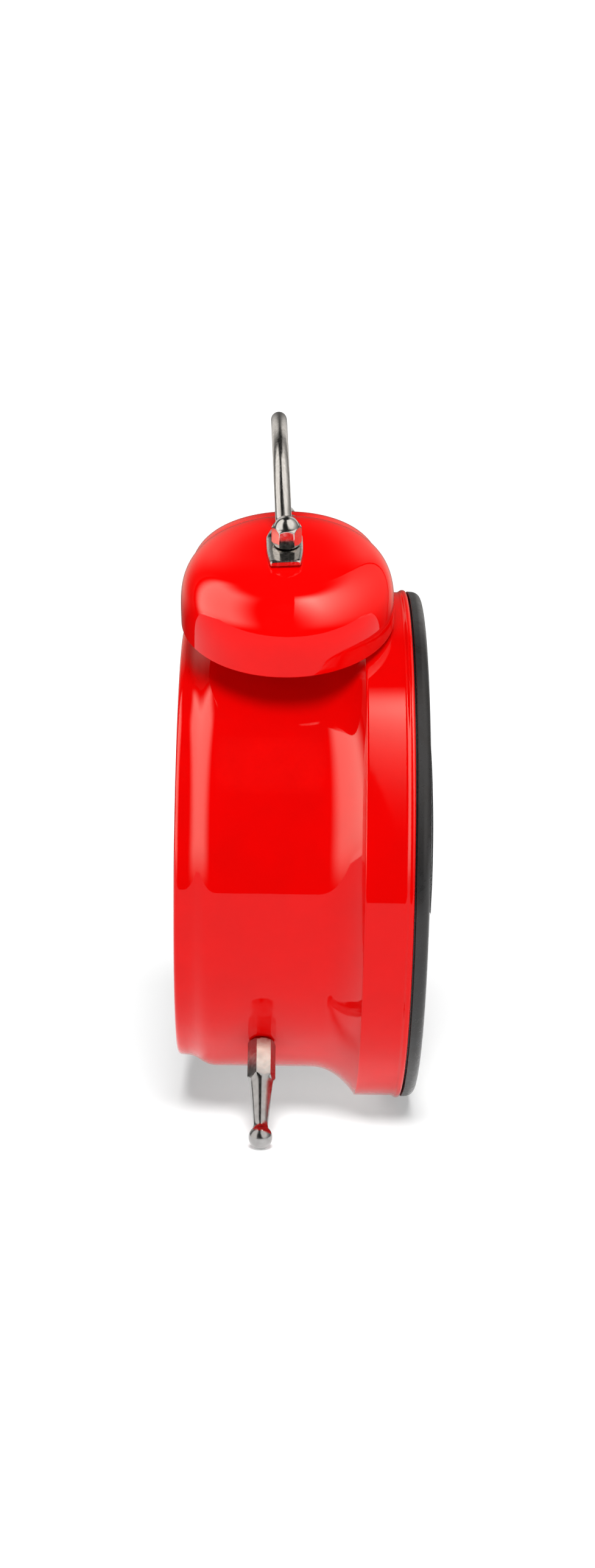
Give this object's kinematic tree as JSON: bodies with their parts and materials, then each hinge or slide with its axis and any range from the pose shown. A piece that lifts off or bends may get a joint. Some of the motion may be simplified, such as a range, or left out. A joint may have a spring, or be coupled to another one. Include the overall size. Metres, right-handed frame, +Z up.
{
  "type": "alarm clock",
  "caption": "Mechanical-look quartz alarm clock: round case with domed lens, twin tilted bells with a hammer, wire carrying handle and splayed ball-foot legs.",
  "frame": {"origin": "on the table, under the middle of the clock's bounding box", "axes": "+Z up, the dial faces -Y, +X is the viewer's right when facing the dial"},
  "size_m": [0.1148, 0.0564, 0.1539],
  "materials": {
    "red_paint": "high gloss enamel",
    "black_plastic": "satin",
    "chrome": "bright nickel and chrome plate",
    "clear_plastic": "clear, polished",
    "dial_white": "printed matt card",
    "white_plastic": "moulded",
    "hand_black": "satin",
    "hand_red": "satin",
    "brass": "turned",
    "steel": "zinc plated",
    "copper_wire": "enamelled copper winding",
    "board_green": "solder mask",
    "battery_wrap": "printed sleeve, no lettering"
  },
  "bodies": {
    "case": {"case_shell": "red_paint", "bell_left": "red_paint", "bell_right": "red_paint", "front_bezel": "black_plastic", "rear_cover": "black_plastic", "carry_handle": "chrome", "acorn_nut_left": "chrome", "acorn_nut_right": "chrome", "leg_left": "chrome", "leg_right": "chrome", "lens": "clear_plastic", "dial_lamp": "clear_plastic", "dial_plate": "dial_white", "dial_ring": "white_plastic", "chassis": "white_plastic", "movement_housing": "white_plastic", "movement_cover": "white_plastic", "rear_screw_1": "steel", "rear_screw_2": "steel", "rear_screw_3": "steel", "bell_post_left": "steel", "bell_post_right": "steel", "post_nut_left": "steel", "post_nut_right": "steel", "leg_nut_left": "steel", "leg_nut_right": "steel", "battery_contact_plus": "steel", "battery_contact_spring": "steel", "stator": "steel", "striker_frame": "steel", "hammer_pivot": "steel", "drive_coil": "copper_wire", "striker_coil": "copper_wire", "circuit_board": "board_green", "battery": "battery_wrap"},
    "second_hand": {"second_hand": "hand_red", "second_wheel": "brass"},
    "third_wheel": {"third_wheel": "brass"},
    "center_wheel": {"center_wheel": "brass"},
    "step_wheel": {"step_wheel": "white_plastic"},
    "rotor": {"rotor": "steel"},
    "minute_hand": {"minute_hand": "hand_black", "minute_cannon": "brass"},
    "transmission_wheel": {"transmission_wheel": "brass"},
    "hour_hand": {"hour_hand": "hand_black", "hour_wheel": "brass"},
    "time_set_knob": {"time_set_knob": "black_plastic", "time_set_arbor": "brass"},
    "alarm_set_knob": {"alarm_set_knob": "black_plastic", "alarm_set_arbor": "brass"},
    "alarm_hand": {"alarm_hand": "brass", "alarm_wheel": "brass"},
    "hammer": {"hammer_lever": "steel", "hammer_arm": "steel", "hammer_head": "chrome"},
    "alarm_switch": {"alarm_switch": "black_plastic"},
    "light_button": {"light_button": "black_plastic"},
    "battery_door": {"battery_door": "black_plastic"}
  },
  "joints": [
    {"name": "second_hand_turn", "type": "hinge", "parent": "case", "child": "second_hand", "pos_m": [0, 0, 0.0574], "axis": [0, 1, 0], "continuous": true},
    {"name": "third_wheel_turn", "type": "hinge", "parent": "case", "child": "third_wheel", "pos_m": [0.00494, 0, 0.04848], "axis": [0, 1, 0], "continuous": true},
    {"name": "center_wheel_turn", "type": "hinge", "parent": "case", "child": "center_wheel", "pos_m": [0, 0, 0.0574], "axis": [0, 1, 0], "continuous": true},
    {"name": "step_wheel_turn", "type": "hinge", "parent": "case", "child": "step_wheel", "pos_m": [-0.00784, 0, 0.05439], "axis": [0, 1, 0], "continuous": true},
    {"name": "rotor_turn", "type": "hinge", "parent": "case", "child": "rotor", "pos_m": [-0.01237, 0, 0.04879], "axis": [0, 1, 0], "continuous": true},
    {"name": "minute_hand_turn", "type": "hinge", "parent": "case", "child": "minute_hand", "pos_m": [0, 0, 0.0574], "axis": [0, 1, 0], "continuous": true},
    {"name": "transmission_wheel_turn", "type": "hinge", "parent": "case", "child": "transmission_wheel", "pos_m": [0, 0, 0.0694], "axis": [0, 1, 0], "continuous": true},
    {"name": "hour_hand_turn", "type": "hinge", "parent": "case", "child": "hour_hand", "pos_m": [0, 0, 0.0574], "axis": [0, 1, 0], "continuous": true},
    {"name": "time_set_turn", "type": "hinge", "parent": "case", "child": "time_set_knob", "pos_m": [-0.012, 0, 0.06461], "axis": [0, 1, 0], "continuous": true},
    {"name": "alarm_set_turn", "type": "hinge", "parent": "case", "child": "alarm_set_knob", "pos_m": [0.012, 0, 0.06461], "axis": [0, 1, 0], "continuous": true},
    {"name": "alarm_hand_turn", "type": "hinge", "parent": "case", "child": "alarm_hand", "pos_m": [0, 0, 0.0574], "axis": [0, 1, 0], "continuous": true},
    {"name": "hammer_swing", "type": "hinge", "parent": "case", "child": "hammer", "pos_m": [0, 0.0051, 0.0934], "axis": [0, 1, 0], "range_deg": [-3, 3], "stiffness_Nm_per_rad": 0.03},
    {"name": "alarm_switch_slide", "type": "slide", "parent": "case", "child": "alarm_switch", "axis": [1, 0, 0], "range_m": [0, 0.007]},
    {"name": "light_button_press", "type": "slide", "parent": "case", "child": "light_button", "axis": [0, -1, 0], "range_m": [0, 0.0015], "stiffness_N_per_m": 200, "springref_m": -0.0005},
    {"name": "battery_door_open", "type": "hinge", "parent": "case", "child": "battery_door", "pos_m": [0, 0.0224, 0.0265], "axis": [-1, 0, 0], "range_deg": [0, 90]}
  ],
  "couplings": [
    {"joint": "third_wheel_turn", "follows": "second_hand_turn", "ratio": -0.13333},
    {"joint": "center_wheel_turn", "follows": "second_hand_turn", "ratio": 0.016667},
    {"joint": "step_wheel_turn", "follows": "second_hand_turn", "ratio": -6},
    {"joint": "rotor_turn", "follows": "second_hand_turn", "ratio": 30},
    {"joint": "transmission_wheel_turn", "follows": "minute_hand_turn", "ratio": -0.33333},
    {"joint": "hour_hand_turn", "follows": "minute_hand_turn", "ratio": 0.083333},
    {"joint": "time_set_turn", "follows": "minute_hand_turn", "ratio": -2.3333},
    {"joint": "alarm_hand_turn", "follows": "alarm_set_turn", "ratio": -0.42857}
  ]
}
